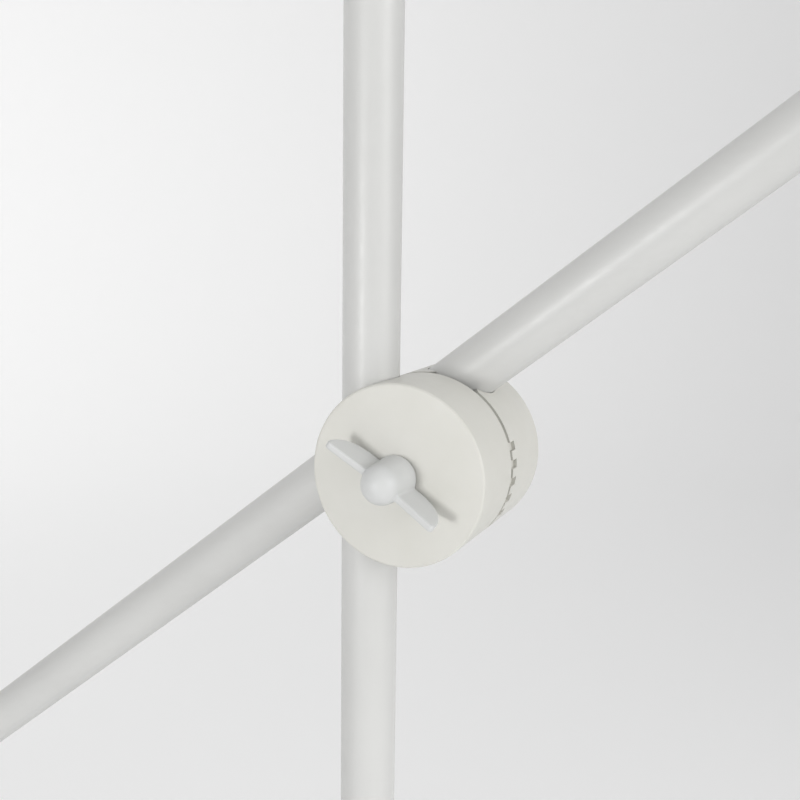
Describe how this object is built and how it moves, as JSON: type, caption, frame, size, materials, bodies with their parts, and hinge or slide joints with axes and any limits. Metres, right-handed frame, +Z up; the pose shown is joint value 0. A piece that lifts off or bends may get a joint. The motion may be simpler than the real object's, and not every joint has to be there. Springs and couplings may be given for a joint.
{
  "type": "adjustable floor lamp",
  "caption": "Floor lamp on a round weighted base, with a pole and a long sliding arm joined by a clamping disc pivot with a wing nut, and a dome shade on a tilting head.",
  "frame": {"origin": "centre of the base's underside, on the floor", "axes": "+Z up along the pole, +X towards the raised end of the arm, -Y to the front, where the wing nut faces"},
  "size_m": [1.0067, 0.28, 1.5135],
  "materials": {
    "tube_paint": "satin powder coat, cool white",
    "shade_paint": "satin powder coat, cool white",
    "disc_plastic": "fine moulded grain, warm off-white",
    "nut_plastic": "satin moulded, bluish white",
    "zinc_steel": "zinc plated",
    "brass": "plain turned",
    "iron": "sand cast, oiled",
    "felt": "pressed felt",
    "friction_felt": "pressed fibre",
    "nylon": "natural nylon",
    "black_plastic": "moulded, satin",
    "opal_glass": "opal, satin"
  },
  "bodies": {
    "stand": {"base_pad": "felt", "base_weight": "iron", "base_cover": "tube_paint", "base_bolt": "zinc_steel", "base_washer": "zinc_steel", "pole_plug": "zinc_steel", "pole_collar": "disc_plastic", "pole_tube": "tube_paint", "pole_cap": "disc_plastic"},
    "pole_slider": {"pole_liner": "nylon"},
    "front_clamp": {"front_disc": "disc_plastic", "nut_washer": "zinc_steel", "friction_washer": "friction_felt", "release_spring": "zinc_steel"},
    "wing": {"wing_nut": "nut_plastic", "nut_insert": "brass"},
    "back_clamp": {"back_disc": "disc_plastic", "clamp_bolt": "zinc_steel", "back_cap": "disc_plastic"},
    "arm_slider": {"arm_liner": "nylon"},
    "arm": {"arm_tube": "tube_paint", "arm_end_cap": "disc_plastic", "cord_gland": "black_plastic", "arm_fork": "tube_paint", "tilt_screw": "zinc_steel"},
    "knob": {"tilt_knob": "disc_plastic"},
    "head": {"head_tongue": "tube_paint", "stem_nut": "zinc_steel", "holder_cup": "tube_paint", "switch_body": "black_plastic", "switch_bezel": "black_plastic", "lamp_holder": "black_plastic", "screw_shell": "brass", "contact_tab": "brass", "shade": "shade_paint", "shade_ring": "black_plastic", "bulb_glass": "opal_glass", "bulb_cap": "zinc_steel", "bulb_contact": "brass"},
    "button": {"switch_button": "nut_plastic"}
  },
  "joints": [
    {"name": "height_slide", "type": "slide", "parent": "stand", "child": "pole_slider", "axis": [0, 0, 1], "range_m": [-0.5, 0.3]},
    {"name": "clamp_swivel", "type": "hinge", "parent": "pole_slider", "child": "front_clamp", "pos_m": [0, 0, 1.05], "axis": [0, 0, 1], "continuous": true},
    {"name": "wing_turn", "type": "hinge", "parent": "front_clamp", "child": "wing", "pos_m": [0.02175, 0.0133, 1.05], "axis": [0, -1, 0], "range_deg": [0, 360]},
    {"name": "arm_tilt", "type": "hinge", "parent": "front_clamp", "child": "back_clamp", "pos_m": [0.02175, 0.0133, 1.05], "axis": [0, -1, 0], "range_deg": [-60, 45]},
    {"name": "arm_roll", "type": "hinge", "parent": "back_clamp", "child": "arm_slider", "pos_m": [0.0083, 0.0274, 1.06709], "axis": [0.7859, 0, 0.6184], "range_deg": [-90, 90]},
    {"name": "arm_slide", "type": "slide", "parent": "arm_slider", "child": "arm", "axis": [0.7859, 0, 0.6184], "range_m": [-0.35, 0.3]},
    {"name": "head_tilt", "type": "hinge", "parent": "arm", "child": "head", "pos_m": [0.56154, 0.0274, 1.50245], "axis": [0, 1, 0], "range_deg": [-100, 10]},
    {"name": "knob_turn", "type": "hinge", "parent": "arm", "child": "knob", "pos_m": [0.56154, 0.0274, 1.50245], "axis": [0, -1, 0], "range_deg": [0, 360]},
    {"name": "switch_press", "type": "slide", "parent": "head", "child": "button", "axis": [0, 1, 0], "range_m": [0, 0.0025], "stiffness_N_per_m": 400}
  ]
}
